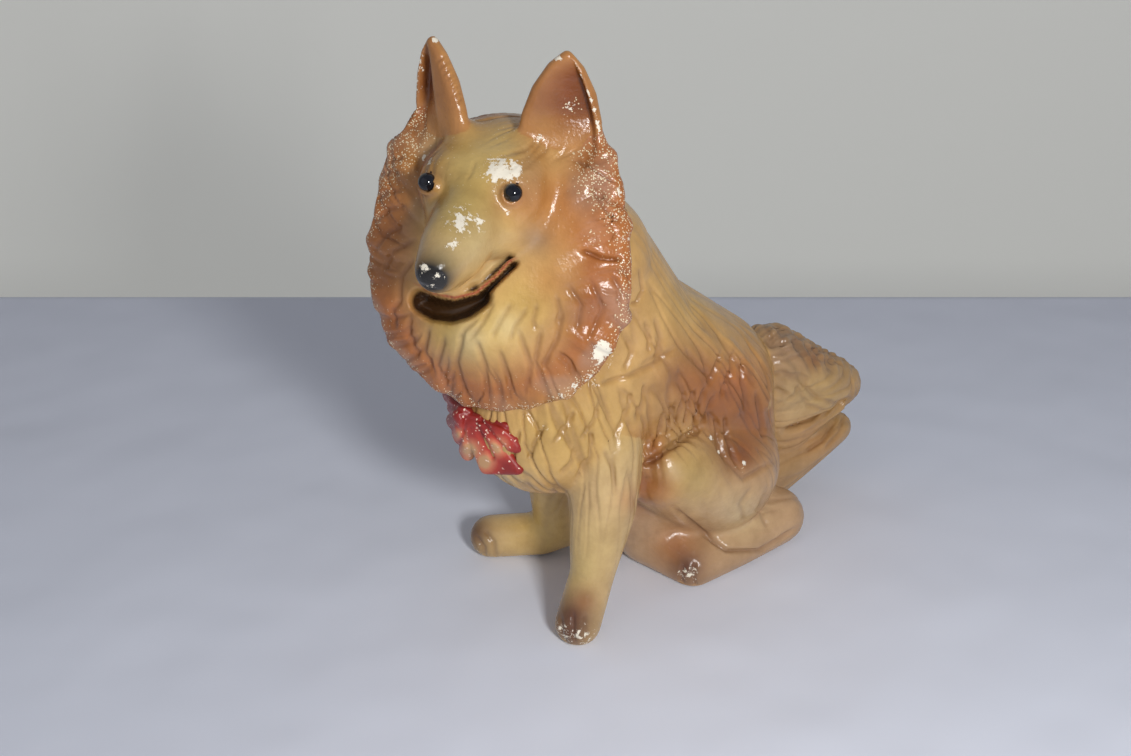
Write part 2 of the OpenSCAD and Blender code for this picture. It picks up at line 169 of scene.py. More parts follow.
figure_middle = Vector((10, 0, 120))
lamps = [("key", 190, 340, 700, 0.12, 4.3), ("fill", -500, 300, 500, 0.9, 0.5)]
for name, right, up, back, size, watts in lamps:
    lamp_data = bpy.data.lights.new(name, "AREA")
    lamp_data.size = size
    lamp_data.energy = watts
    lamp = placed(name, lamp_data)
    spot = figure_middle + camera_right * right + level_back * back + Vector((0, 0, up))
    lamp.location = spot * MM
    lamp.rotation_euler = (spot - figure_middle).to_track_quat("Z", "Y").to_euler()
world = bpy.data.worlds.new("world")
bpy.context.scene.world = world
world.use_nodes = True
world.node_tree.nodes["Background"].inputs["Color"].default_value = srgb("#F2F4FF")
world.node_tree.nodes["Background"].inputs["Strength"].default_value = 0.29

# Coat castings (torso, head, ears, forelegs, tail): plaster of Paris cast in a mould, airbrushed in
# tans and browns and lacquered. Each starts as clay, hulls of balls [x, y, z, radius] in mm, which
# are pressed together into one skin, carved, painted and cut apart.
template = bmesh.new()
bmesh.ops.create_icosphere(template, subdivisions=4, radius=1)
directions = [v.co.copy() for v in template.verts]
forms = {}


def clay(node, balls, place=Matrix(), squeeze=1.0):
    """Adds the hull of balls to a node's form, cut flat where it would reach below the table."""
    part = bmesh.new()
    for x, y, z, r in balls:
        centre = place @ Vector((x, y, z))
        for out in directions:
            part.verts.new(centre + out * r)
    hull = bmesh.ops.convex_hull(part, input=part.verts[:])
    spare = {v for v in hull["geom_unused"] + hull["geom_interior"] if isinstance(v, bmesh.types.BMVert)}
    bmesh.ops.delete(part, geom=list(spare), context="VERTS")
    for v in part.verts:
        v.co.x *= squeeze
    if min(v.co.z for v in part.verts) < 0:
        bmesh.ops.bisect_plane(part, geom=part.verts[:] + part.edges[:] + part.faces[:],
                               plane_co=(0, 0, 0), plane_no=(0, 0, 1), clear_inner=True)
        bmesh.ops.holes_fill(part, edges=[e for e in part.edges if e.is_boundary])
    bmesh.ops.recalc_face_normals(part, faces=part.faces[:])
    mesh = bpy.data.meshes.new("clay")
    part.to_mesh(mesh)
    forms.setdefault(node, bmesh.new()).from_mesh(mesh)
    bpy.data.meshes.remove(mesh)
    part.free()


def turned(x=0, z=0):
    """A turn about x and then about z, in degrees."""
    return Matrix.Rotation(math.radians(z), 4, "Z") @ Matrix.Rotation(math.radians(x), 4, "X")


# Torso: trunk, haunches, hind feet and lap
trunk_squeeze = 0.92
seat, loin, groin = (0, 42, 33, 41), (0, 35, 84, 42), (4, 8, 14, 19)
shoulders, chest, breast, neck = (0, -17, 120, 45), (0, -53, 106, 43), (3, -46, 140, 37), (6, -41, 176, 32)
trunk = [(seat, loin, groin), (loin, shoulders, groin), (shoulders, chest, breast), (shoulders, breast, neck)]
for balls in trunk:
    clay("torso_casting", balls, squeeze=trunk_squeeze)


def trunk_side(y, z):
    """Where the trunk's side lies at a point y, z."""
    p, off = Vector((y, z)), 1e3
    for a, b in ((chest, shoulders), (shoulders, loin), (chest, breast), (breast, shoulders)):
        a, b = Vector(a[1:3]), Vector(b[1:3])
        t = max(0, min(1, (p - a).dot(b - a) / (b - a).length_squared))
        off = min(off, (p - a - t * (b - a)).length)
    return trunk_squeeze * math.sqrt(max(1, chest[3] ** 2 - off ** 2))


for side in (1, -1):
    haunch, knee = (side * 13, 34, 48, 37), (side * 32, -13, 72, 20)
    toes, instep, hock = (side * 35, 8, 8, 11), (side * 37, 37, 10, 11), (side * 33, 66, 13, 15)
    lap = (side * 30, 22, 6, 9)
    for balls in [(haunch, knee), (toes, instep), (instep, hock), (toes, lap, groin)]:
        clay("torso_casting", balls)

lock_ball = 5
for side in (1, -1):
    for i in range(7):
        top = Vector((17 * i - 74, 130 - max(0, i - 4) * 5))
        sweep = Vector((34 * (i / 8 - 0.1), -34))
        lock = []
        for share, rise in ((0, 1.0), (0.5, 2.0), (1, 1.6)):
            y, z = top + sweep * share
            lock.append((side * (trunk_side(y, z) - lock_ball + rise), y, z, lock_ball))
        clay("torso_casting", lock[:2])
        clay("torso_casting", lock[1:])
clay("torso_casting", [(25, -43, 92, 18), (14, -34, 118, 24)])

# Head: face, nape and ruff
face_frame = Matrix.Translation((16, -106, 227)) @ turned(x=25, z=33)
collar_frame = Matrix.Translation((10, -87, 186)) @ turned(z=33)
ruff_frame = collar_frame @ turned(x=-12)
skull = (0, 33, -22, 28)
clay("head_casting", [skull, (11, 12, -12, 17), (-11, 12, -12, 17)], face_frame)
for side in (1, -1):
    clay("head_casting", [skull, (side * 13, 14, -26, 17), (side * 4, -4, -16, 14)], face_frame)
clay("head_casting", [(0, 2, -13, 16), (0, -24, -9, 13.5), (0, -38.5, -5, 9.5)], face_frame)
clay("head_casting", [(0, 4, -24, 12), (0, -33.5, -14, 7)], face_frame)
clay("head_casting", [skull, (0, 6, -9, 14), (11, 14, -8, 13), (-11, 14, -8, 13)], face_frame)
skull_at = face_frame @ Vector(skull[:3])
clay("head_casting", [(*skull_at, skull[3]), neck])


def rim(angle, share=1.0):
    """A point of the ruff's rim, or that share of the way out to it, in the ruff's frame."""
    a = math.radians(angle)
    reach = 56 + 33 * max(0, math.sin(a)) ** 3
    return (-3 + share * reach * math.cos(a), 4 * share ** 2, -5 + share * reach * math.sin(a))


locks = [48, 37, 25, 12, -1, -13, -26, -40, -56, -72, -88, -103, -117, -131, -146, -161, -177, 168, 155,
         143, 131]
rim_ball = 4.5
clay("head_casting", [(-3, 0, -22, 22)] + [(*rim(a, 0.985), rim_ball) for a in locks], ruff_frame)
for i, angle in enumerate(locks):
    lift = 1.6 * math.sin(2.3 * i)
    root, belly = rim(angle - 5, 0.52), rim(angle + 2, 0.84)
    tip = rim(angle + 3, 1 + 0.012 * math.sin(4.1 * i))
    clay("head_casting", [
        (root[0], root[1] - 5.5, root[2], 7.5), (belly[0], belly[1] - 1.5 - lift, belly[2], 7),
        (tip[0], tip[1] - lift, tip[2], rim_ball)], ruff_frame)

# Ears, each with its foot on the skull and a web that joins it to the ruff
ear_frames = {}
for side, node, ear_turn in ((1, "left_ear", 12), (-1, "right_ear", -34)):
    ear_frame = (collar_frame @ Matrix.Translation((side * 25.5 - 4, 14, 51))
                 @ Matrix.Rotation(math.radians(ear_turn), 4, "Z")
                 @ Matrix.Rotation(math.radians(side * 5), 4, "Y") @ Matrix.Rotation(math.radians(4), 4, "X"))
    outline = [(side_x * half, y, z, r) for side_x in (-1, 1) for half, y, z, r in
               ((14.5, 0, 0, 3.5), (13, 0.5, 12, 3.6), (9.8, 1, 23, 3.6), (5, 1, 33, 3))]
    clay(node, outline + [(0, 5, 0, 5), (0, 3.5, 18, 5), (0, 1, 38.5, 2.6)], ear_frame)
    foot = [ear_frame @ Vector((x, 2.5, -2)) for x in (-11, 11)]
    cheek_at = face_frame @ Vector((side * 13, 14, -26))
    clay("head_casting", [(*foot[0], 5), (*foot[1], 5), (*cheek_at, 17)])
    edge_at = [ear_frame @ Vector((side * 14, 1, z)) for z in (0, 9)]
    web_at = ((42, 0.98), (54, 0.98), (48, 0.6))
    web = [ruff_frame @ Vector(rim(90 - side * away, share)) for away, share in web_at]
    clay("head_casting", [(*spot, 3.2) for spot in edge_at + web[:2]] + [(*web[2], 5)])
    ear_frames[node] = ear_frame

# Forelegs: the left one upright, the right one splayed on the table
for balls in [((37, -66, 8, 11), (34, -55, 30, 10.5)), ((34, -55, 30, 10.5), (31, -47, 62, 15.5)),
              ((31, -47, 62, 15.5), (27, -44, 92, 18.5))]:
    clay("left_foreleg", balls)
for balls in [((-46, -56, 9, 11), (-30, -36, 11, 11)), ((-30, -36, 11, 11), (-24, -28, 19, 14)),
              ((-24, -28, 19, 14), (-24, -30, 63, 18))]:
    clay("right_foreleg", balls)

# Tail: a shaft that runs back low, with the plume curled up over it
clay("tail_casting", [(8, 112, 26, 12), (8, 136, 30, 9)])
clay("tail_casting", [(6, 79, 20, 17), (8, 112, 26, 12)])
clay("tail_casting", [(8, 132, 58, 14), (8, 108, 68, 18), (6, 82, 89, 18), (7, 93, 43, 13)])

# The clay becomes one skin of even small faces
voxel = 0.8


def modified(mesh, kind, **settings):
    """The mesh as one modifier with these settings makes it."""
    lump = placed("lump", mesh)
    change = lump.modifiers.new("change", kind)
    for name, value in settings.items():
        setattr(change, name, value)
    made = bpy.data.meshes.new_from_object(lump.evaluated_get(bpy.context.evaluated_depsgraph_get()))
    bpy.data.objects.remove(lump)
    return made


nodes = list(forms)
everything = bmesh.new()
trees = []
for node in nodes:
    mesh = bpy.data.meshes.new(node)
    forms[node].to_mesh(mesh)
    everything.from_mesh(mesh)
    trees.append(BVHTree.FromBMesh(forms[node]))
mesh = bpy.data.meshes.new("clay")
everything.to_mesh(mesh)
skin = modified(mesh, "REMESH", mode="VOXEL", voxel_size=voxel)
count = len(skin.vertices)
points = np.empty(count * 3, np.float32)
skin.vertices.foreach_get("co", points)
points = points.reshape(-1, 3).astype(float)
edges = np.empty(len(skin.edges) * 2, np.int32)
skin.edges.foreach_get("vertices", edges)
edges = edges.reshape(-1, 2)

most_beside = 6
both = np.concatenate([edges, edges[:, ::-1]])
both = both[np.argsort(both[:, 0], kind="stable")]
first = np.searchsorted(both[:, 0], np.arange(count))
turn = np.arange(len(both)) - first[both[:, 0]]
beside = np.repeat(np.arange(count)[:, None], most_beside, 1)
beside[both[turn < most_beside, 0], turn[turn < most_beside]] = both[turn < most_beside, 1]


def relax(values, rounds, amount=0.5):
    """Smooths values over the skin, each round towards the mean of the neighbours."""
    for _ in range(rounds):
        values = values + amount * (values[beside].mean(1) - values)
    return values


def normals():
    """Moves the skin to its points, and tells which way each of them faces."""
    skin.vertices.foreach_set("co", points.astype(np.float32).ravel())
    skin.update()
    out = np.empty(count * 3, np.float32)
    skin.vertices.foreach_get("normal", out)
    return out.reshape(-1, 3).astype(float)


# Which casting each point of the skin belongs to; the torso ends below the head's seat
seat_z = 188
gaps = np.empty((count, len(nodes)))
for column, bvh in enumerate(trees):
    gaps[:, column] = [bvh.find_nearest(p)[3] for p in points]
torso = nodes.index("torso_casting")
gaps[:, torso] += np.where(points[:, 2] < seat_z, -0.6, 50)
votes = np.eye(len(nodes))[gaps.argmin(1)]
label = relax(votes, 24).argmax(1)

# A stray island of a casting goes to the casting around it
island, sizes = np.full(count, -1), []
near_points, labels = beside.tolist(), label.tolist()
for start in range(count):
    if island[start] >= 0:
        continue
    island[start] = len(sizes)
    reached = [start]
    for p in reached:
        for q in near_points[p]:
            if island[q] < 0 and labels[q] == labels[p]:
                island[q] = len(sizes)
                reached.append(q)
    sizes.append(len(reached))
largest = {max((sizes[k], k) for k in set(island[label == i].tolist()))[1] for i in range(len(nodes))}
stray = ~np.isin(island, list(largest))
votes = np.eye(len(nodes))[label] * ~stray[:, None]
label = np.where(stray, relax(votes, 30).argmax(1), label)
is_node = {node: label == i for i, node in enumerate(nodes)}

# Pressed joints between masses are softened, more on the body than on the thin ears and rim


def within(own):
    """The skin's points along the axes of a frame."""
    return (points - np.array(own.translation)) @ np.array(own.to_3x3())


in_ruff, in_face = within(ruff_frame), within(face_frame)
ruff_out = np.hypot(in_ruff[:, 0] + 3, in_ruff[:, 2] + 5)
softness = np.where(is_node["head_casting"], np.clip((56 - ruff_out) / 14, 0.6, 1), 1.0)
softness[is_node["left_ear"] | is_node["right_ear"]] = 0.2
softness = relax(softness, 10)[:, None]
for _ in range(42):
    points += softness * 0.5 * (points[beside].mean(1) - points)
points[:, 2] = np.maximum(points[:, 2], 0)

# Views used for carving and painting: the photograph's own, and its mirror image for the far side
mirror = np.array([-1.0, 1.0, 1.0])
facing = normals()


def look(at):
    """Pixel places of the skin and how plainly each point is seen, 0 for hidden ones."""
    spots, away = pixels(at)
    cell = np.round(spots / 2).astype(int)
    key = (cell[:, 0] + 400) * 4000 + cell[:, 1] + 400
    nearest = np.full(key.max() + 1, 1e9)
    np.minimum.at(nearest, key, away)
    return spots, (away < nearest[key] + 5).astype(float)


def view_from(flip):
    at, out = (points * mirror, facing * mirror) if flip else (points, facing)
    spots, seen = look(at)
    turned_to = ((np.array(camera_at) - at) * out).sum(1) / np.linalg.norm(np.array(camera_at) - at, axis=1)
    return spots, relax(seen, 4) * np.clip(turned_to * 4, 0, 1)


near_spots, near_seen = view_from(False)
far_spots, far_seen = view_from(True)
far_seen = far_seen * (is_node["torso_casting"] & (points[:, 0] < 0))


def along(path, spots):
    """Distance in pixels from each place to a path of pixels, and how far along it."""
    low, high = np.min(path, 0) - 40, np.max(path, 0) + 40
    inside = np.flatnonzero(((spots > low) & (spots < high)).all(1))
    best, where = np.full(len(spots), 1e3), np.zeros(len(spots))
    p = spots[inside]
    for i, (a, b) in enumerate(zip(path, path[1:])):
        a, b = np.array(a, float), np.array(b, float)
        t = np.clip((p - a) @ (b - a) / ((b - a) @ (b - a)), 0, 1)
        d = np.linalg.norm(p - a - t[:, None] * (b - a), axis=1)
        closer = d < best[inside]
        best[inside[closer]] = d[closer]
        where[inside[closer]] = (i + t[closer]) / (len(path) - 1)
    return best, where


def views(both_sides):
    return [(near_spots, near_seen), (far_spots, far_seen)] if both_sides else [(near_spots, near_seen)]


def stroke(path, width, only=None, both_sides=False, taper=True):
    """A soft line over the skin, 1 on the path and 0 away from it; width is in pixels."""
    total = np.zeros(count)
    for spots, seen in views(both_sides):
        d, t = along(path, spots)
        ends = np.clip(np.minimum(t, 1 - t) * 6 + 0.25, 0, 1) if taper else 1
        total = np.maximum(total, np.exp(-(d / width) ** 2) * seen * ends)
    return total * only if only is not None else total


def patch(x, y, radius, only=None, both_sides=False):
    """A soft round spot at a pixel; radius is in pixels."""
    total = np.zeros(count)
    for spots, seen in views(both_sides):
        d = np.hypot(spots[:, 0] - x, spots[:, 1] - y)
        total = np.maximum(total, np.exp(-(d / radius) ** 2) * seen)
    return total * only if only is not None else total


def melt(where, rounds):
    """Smooths the skin itself where it is asked, so that pressed joints run out."""
    global points, facing
    chosen = np.flatnonzero(where > 0.02)
    amount = 0.6 * np.clip(where[chosen], 0, 1)[:, None]
    for _ in range(rounds):
        points[chosen] += amount * (points[beside[chosen]].mean(1) - points[chosen])
    points[:, 2] = np.maximum(points[:, 2], 0)
    facing = normals()


head_only = is_node["head_casting"].astype(float)
torso_only = is_node["torso_casting"].astype(float)
tail_only = is_node["tail_casting"].astype(float)
legs_only = (is_node["left_foreleg"] | is_node["right_foreleg"]).astype(float)
painted_crease_shade = np.zeros(count)


def carve(amount):
    """Moves the skin out along its normals by amount in mm, and in where it is negative."""
    global points, facing
    points = points + facing * amount[:, None]
    points[:, 2] = np.maximum(points[:, 2], 0)
    facing = normals()


melt(tail_only, 110)
melt(patch(612, 445, 34, None, True) + patch(585, 455, 22) + patch(545, 470, 24), 120)
melt(patch(670, 560, 44, torso_only, True) + patch(740, 540, 44, torso_only, True), 170)
from_skull = np.hypot(points[:, 0] - skull_at.x, points[:, 1] - skull_at.y)
skull_top = skull_at.z + 17
flat = relax(head_only * np.clip((38 - from_skull) / 8, 0, 1), 8)
points[:, 2] -= 0.45 * flat * np.clip(points[:, 2] - skull_top, 0, None)
melt(patch(500, 112, 44, head_only) + patch(560, 160, 30) + patch(450, 120, 26), 200)
melt(np.clip((ruff_out - 40) / 10, 0, 0.5) * head_only * (in_ruff[:, 1] < 6), 24)
# Large forms first: sockets, mouth, the hollow under the jaw, groin and ears
ring_px, ring_width_px, ring_high = 9.2, 2.3, 3.0
for eye_x, eye_y in ((428, 185), (511, 195)):
    socket = patch(eye_x, eye_y, 15, head_only)
    carve(-2.4 * socket * (1 - socket * 0.2))
    ring = np.hypot(near_spots[:, 0] - eye_x, near_spots[:, 1] - eye_y)
    carve(ring_high * np.exp(-((ring - ring_px) / ring_width_px) ** 2) * near_seen * head_only)
mouth = [(414, 283), (430, 293), (452, 298), (475, 292), (495, 275), (508, 262), (517, 257)]
flew = [(444, 293), (460, 286), (478, 274), (492, 262), (504, 252)]
carve(-1.1 * stroke(flew, 8, head_only))
melt(stroke(flew, 15, head_only, taper=False) * 1.6, 170)
melt(patch(551, 206, 20, head_only), 90)
carve(-1.6 * stroke(mouth, 2.2, head_only))
under_jaw = [(423, 301), (434, 308), (450, 310), (464, 306), (478, 296)]
jaw_corner = [(478, 294), (497, 274), (511, 261)]
jaw_depth = 15
jaw_hollow = stroke(under_jaw, 11, head_only, taper=False)
jaw_hollow = np.maximum(jaw_hollow, stroke(jaw_corner, 6, head_only, taper=False))
jaw_hollow = relax(np.clip(1.8 * jaw_hollow - 0.3, 0, 1), 2)
jaw_hollow *= 1 - np.clip(1.4 * stroke(mouth, 2.6, head_only, taper=False), 0, 1)
points -= jaw_depth * jaw_hollow[:, None] * np.array(camera_back)
melt(jaw_hollow > 0.01, 12)
carve(-4.0 * patch(648, 484, 15, torso_only, True))
fringe = [(638, 470), (667, 449), (686, 437), (705, 425)]
melt(stroke(fringe, 11, torso_only, True) * 1.3, 70)
hollow, ear_rim, ear_high = np.zeros(count), np.zeros(count), np.zeros(count)
ear_deep = 6.0
for node, side, hollow_from in (("left_ear", 1, -1.0), ("right_ear", -1, -0.1)):
    ear_or_head = is_node[node] | is_node["head_casting"]
    ear_axes = np.array(ear_frames[node].to_3x3())
    local = within(ear_frames[node])
    z = np.clip((local[:, 2] + 3) / 43, 0, 1)
    out = side * local[:, 0] / (17.5 * (1 - z ** 1.8) + 2)
    inner = np.clip((out - hollow_from) / (0.72 - hollow_from), 0, 1) * np.clip((0.84 - out) / 0.12, 0, 1)
    inner *= np.clip((39 - local[:, 2]) / 10, 0, 1) * np.clip((local[:, 2] + 5) / 18, 0, 1)
    front = np.clip(-(facing @ ear_axes[:, 1]) * 2 - 0.2, 0, 1) * (np.abs(local[:, 1]) < 14)
    hollow += relax(inner * front * ear_or_head, 3)
    line = np.exp(-((out - 0.9) / 0.07) ** 2) * np.clip((local[:, 2] - 2) / 6, 0, 1) * (local[:, 1] < 3)
    ear_rim = np.maximum(ear_rim, line * is_node[node])
    ear_high = np.maximum(ear_high, np.clip((local[:, 2] - 1) / 17, 0, 1) * front * ear_or_head)
    points = points + ear_axes[:, 1] * relax(ear_deep * inner * front * ear_or_head, 3)[:, None]
facing = normals()

# The way the hair lies: guides [x, y, z, along x, y, z, depth of the locks], mirrored on the body
guides = [(8, -15, 200, 0, 0.5, -0.85, 0.1), (20, 0, 165, 0, 0.6, -0.8, 0.15),
          (15, 40, 140, 0, 0.8, -0.6, 0.2), (20, 70, 105, 0, 0.6, -0.8, 0.25),
          (30, 85, 50, 0, 0.2, -1, 0.4), (34, -40, 165, 0, 0.35, -0.95, 0.45),
          (42, -25, 130, 0, 0.3, -1, 0.6), (44, -30, 100, 0, 0.3, -1, 0.7),
          (42, 20, 110, 0.1, 0.55, -0.8, 1.0), (44, -5, 100, 0, 0.4, -0.9, 1.0),
          (38, 45, 95, 0, 0.4, -0.9, 0.8), (48, 25, 76, 0, 0.45, -0.9, 0.5), (48, -8, 72, 0, 0.2, -1, 0.0),
          (50, 30, 50, 0, 0.5, -0.8, 0.1), (46, 58, 40, 0, 0.3, -0.9, 0.4), (45, 30, 8, 0, 1, 0, 0.0),
          (35, 0, 8, 0, -1, 0, 0.0), (36, 66, 8, 0, 1, 0, 0.1), (0, -95, 100, 0, 0.1, -1, 0.6),
          (35, -72, 112, 0, 0.3, -1, 0.8), (20, -62, 72, 0, 0.5, -0.8, 0.7), (0, 0, 30, 0, 0.3, -1, 0.2),
          (30, -10, 40, 0, 0.2, -1, 0.1)]
guides += [(-x, y, z, -dx, dy, dz, s) for x, y, z, dx, dy, dz, s in guides if x]
leg_guides = [(34, -50, 78, 0, -0.1, -1, 0.5), (34, -55, 55, 0, -0.1, -1, 0.15),
              (36, -62, 25, 0, -0.3, -1, 0.0), (-30, -36, 12, -0.7, -0.7, 0, 0.0),
              (-24, -30, 55, 0, -0.1, -1, 0.3)]
tail_guides = [
    (8, 120, 20, 0, 1, 0.15, 0.3), (8, 142, 58, 0, -0.5, 0.85, 0.6), (8, 110, 86, 0, -0.9, 0.4, 0.8),
    (25, 110, 62, 0, 1, -0.1, 0.35), (-10, 110, 62, 0, 1, -0.1, 0.5), (8, 85, 105, 0, -1, 0.1, 0.5)]


def follow(guides, chosen):
    """Mean way and lock depth of the guides near each chosen point."""
    g = np.array(guides, float)
    d = ((points[chosen, None, :] - g[None, :, :3]) ** 2).sum(2)
    w = 1 / (d + 60) ** 2
    w /= w.sum(1)[:, None]
    return w @ g[:, 3:6], w @ g[:, 6]


way, locks_deep = np.zeros((count, 3)), np.zeros(count)
hair = [(is_node["torso_casting"], guides), (legs_only > 0, leg_guides), (tail_only > 0, tail_guides)]
for chosen, some in hair:
    way[chosen], locks_deep[chosen] = follow(some, chosen)
ruff_x, ruff_z = in_ruff[:, 0] + 3, in_ruff[:, 2] + 5
spread = np.stack([ruff_x, 0 * ruff_x, ruff_z], 1) / np.maximum(ruff_out, 1)[:, None]
swirl = np.stack([-ruff_z, 0 * ruff_x, ruff_x], 1) / np.maximum(ruff_out, 1)[:, None]
spread = (spread + 0.35 * np.sin(ruff_out / 13)[:, None] * swirl) @ np.array(ruff_frame.to_3x3()).T
chosen = head_only > 0
way[chosen] = spread[chosen]
low = np.clip((-ruff_z - 4) / 20, 0, 1)
cheek = np.clip((ruff_x - 5) / 20, 0, 1) * np.clip((ruff_z + 34) / 20, 0, 1)
starts_at = 34 + 12 * cheek
behind_ruff = np.clip((in_ruff[:, 1] - 12) / 10, 0, 1)
locks_deep[chosen] = (0.62 * np.clip((ruff_out - starts_at) / 10, 0, 1) * (1 - 0.5 * behind_ruff))[chosen]
back_of_head = chosen & (in_ruff[:, 1] > 14)
way[back_of_head], nape_deep = follow(guides, back_of_head)
locks_deep[back_of_head] = nape_deep * 0.6
locks_deep[is_node["left_ear"] | is_node["right_ear"]] = 0
way[is_node["left_ear"] | is_node["right_ear"]] = (0, 0, 1)
muzzle = np.clip((-in_face[:, 1] + 8) / 10, 0, 1) * np.clip((24 - np.abs(in_face[:, 0])) / 6, 0, 1)
muzzle *= np.clip((in_face[:, 2] + 32) / 8, 0, 1)
locks_deep *= 1 - muzzle
for x, y, radius in ((570, 235, 34), (520, 215, 48), (470, 215, 45), (470, 150, 45), (585, 175, 24)):
    locks_deep *= 1 - patch(x, y, radius, head_only)
locks_deep = relax(locks_deep, 12)
way = relax(way, 8)
way -= facing * (way * facing).sum(1)[:, None]
way /= np.maximum(np.linalg.norm(way, axis=1), 1e-6)[:, None]

finder = KDTree(count)
for i, p in enumerate(points):
    finder.insert(p, i)
finder.balance()
step = 1.7
ahead = np.array([finder.find(p)[1] for p in points + way * step])
behind = np.array([finder.find(p)[1] for p in points - way * step])
rng = np.random.default_rng(11)


def combed(coarse, length):
    """Noise drawn out along the hair: coarse is its smoothing across, length its steps along."""
    noise = relax(rng.standard_normal(count), coarse)
    noise /= noise.std()
    total, forth, back = noise.copy(), np.arange(count), np.arange(count)
    for i in range(length):
        forth, back = ahead[forth], behind[back]
        total += (1 - i / length) * (noise[forth] + noise[back])
    total = relax(total, 2)
    return (total - total.mean()) / total.std()


wide, fine = combed(40, 16), combed(6, 12)
valley = np.exp(-(wide / 0.42) ** 2)
carve(locks_deep * (0.7 * np.tanh(np.abs(wide)) - 1.3 * valley - 0.25 * np.exp(-(fine / 0.5) ** 2)))
# Painted shade: the valleys between the locks are darkened
painted_crease_shade += locks_deep * valley

# The figure's own marks: creases between locks, pressed lines and toes, as paths of pixels
ruff_creases = [
    [(476, 341), (485, 366), (489, 404)], [(499, 350), (508, 376), (510, 396)],
    [(518, 330), (531, 366), (524, 400)], [(541, 330), (535, 362), (545, 388)],
    [(563, 312), (556, 341), (541, 371)], [(590, 280), (603, 309), (588, 341)],
    [(569, 286), (581, 306), (577, 330)], [(462, 337), (456, 363), (466, 396)],
    [(444, 337), (437, 366), (450, 395)], [(428, 328), (424, 352), (436, 378)],
    [(410, 316), (408, 335), (418, 358)], [(414, 240), (392, 252), (382, 272)],
    [(414, 259), (400, 277), (399, 304)], [(404, 224), (384, 236), (374, 250)],
    [(404, 206), (386, 210), (374, 222)], [(401, 190), (386, 192), (376, 199)],
    [(399, 174), (388, 172), (379, 174)], [(400, 300), (392, 312), (396, 330)],
    [(612, 276), (620, 290), (618, 306)], [(560, 355), (570, 362), (574, 376)],
    [(403, 156), (394, 158), (388, 160)]]
throat_creases = [
    [(494, 301), (483, 322), (470, 340)], [(511, 304), (500, 322), (492, 338)],
    [(527, 309), (515, 326), (510, 341)], [(537, 305), (533, 321), (536, 330)],
    [(556, 296), (560, 312), (556, 325)], [(479, 318), (464, 330), (458, 342)]]
flank_creases = [
    [(705, 387), (698, 406), (691, 425)], [(715, 394), (705, 416), (696, 434)],
    [(696, 389), (688, 408), (681, 425)], [(686, 394), (679, 411), (674, 427)],
    [(676, 402), (670, 420), (664, 436)], [(725, 416), (727, 437), (739, 468)],
    [(735, 353), (730, 377), (720, 396)], [(744, 358), (742, 382), (749, 411)],
    [(716, 420), (718, 436), (726, 456)], [(722, 352), (714, 372), (708, 384)],
    [(756, 392), (760, 416), (764, 440)], [(664, 412), (658, 432), (650, 450)]]
chest_creases = [
    [(575, 479), (590, 458), (592, 430)], [(616, 493), (613, 469), (604, 450)],
    [(645, 322), (650, 340), (648, 352)], [(655, 318), (661, 340), (657, 360)],
    [(560, 474), (570, 464), (577, 448)], [(632, 392), (628, 410), (614, 436)],
    [(600, 402), (594, 420), (580, 440)], [(575, 410), (566, 428), (552, 444)],
    [(646, 384), (643, 402), (636, 420)], [(545, 424), (534, 444), (528, 462)],
    [(520, 430), (514, 448), (512, 464)], [(628, 340), (632, 352), (624, 370)]]
